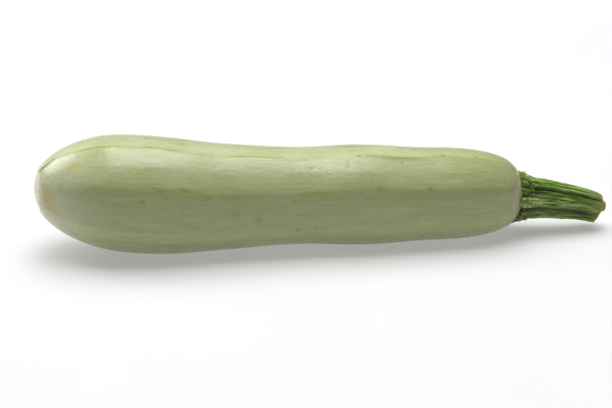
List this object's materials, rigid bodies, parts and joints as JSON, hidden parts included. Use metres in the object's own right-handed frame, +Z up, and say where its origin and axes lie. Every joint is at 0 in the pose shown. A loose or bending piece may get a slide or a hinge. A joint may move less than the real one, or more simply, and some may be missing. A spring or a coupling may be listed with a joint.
{
  "type": "courgette",
  "caption": "Pale green courgette with a swollen blossom end, a slight waist and a ribbed cut stalk, lying on its side.",
  "frame": {"origin": "middle of the bounding box in X and Y, on the surface that the two pressed swellings rest on", "axes": "+X along the fruit from the blossom end to the stalk, +Z up, +Y to the far side of the slight bend"},
  "size_m": [0.2554, 0.0512, 0.0517],
  "materials": {
    "skin": "smooth waxy plant skin, satin sheen, pale green with fine lighter flecks",
    "rind": "fibrous green stalk rind with pale ribs, dried tan at the cut"
  },
  "bodies": {
    "root": {"fruit": "skin", "stalk": "rind"}
  },
  "joints": []
}
